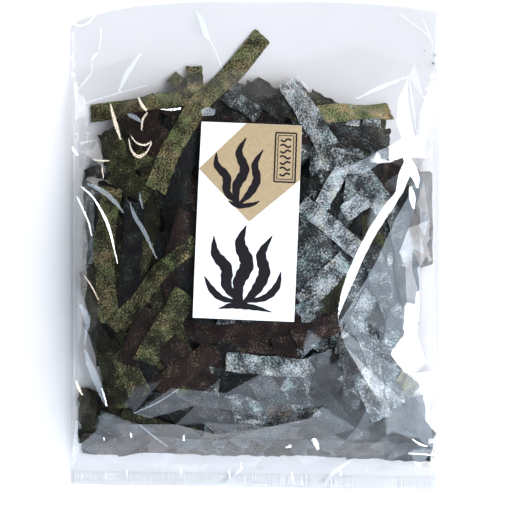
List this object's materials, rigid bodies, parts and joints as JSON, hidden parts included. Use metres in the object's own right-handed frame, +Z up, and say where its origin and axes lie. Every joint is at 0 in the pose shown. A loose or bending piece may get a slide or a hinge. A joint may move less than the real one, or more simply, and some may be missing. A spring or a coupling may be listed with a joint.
{
  "type": "bag of roasted nori strips",
  "caption": "Clear sealed film bag filled with crumpled roasted nori strips, crimped along one end, with a tall paper label on its front, lying label up.",
  "frame": {"origin": "on the table under the middle of the bag's outline", "axes": "+Z up out of the label, +Y along the bag from the crimped end to the empty flap, +X to the right of the label"},
  "size_m": [0.305, 0.405, 0.0507],
  "materials": {
    "bag": "clear gloss film over matt to satin dark olive and purple-black nori",
    "label": "smooth coated white paper with a tan diamond and black brush shapes"
  },
  "bodies": {
    "root": {"bag": "bag", "label": "label"}
  },
  "joints": []
}
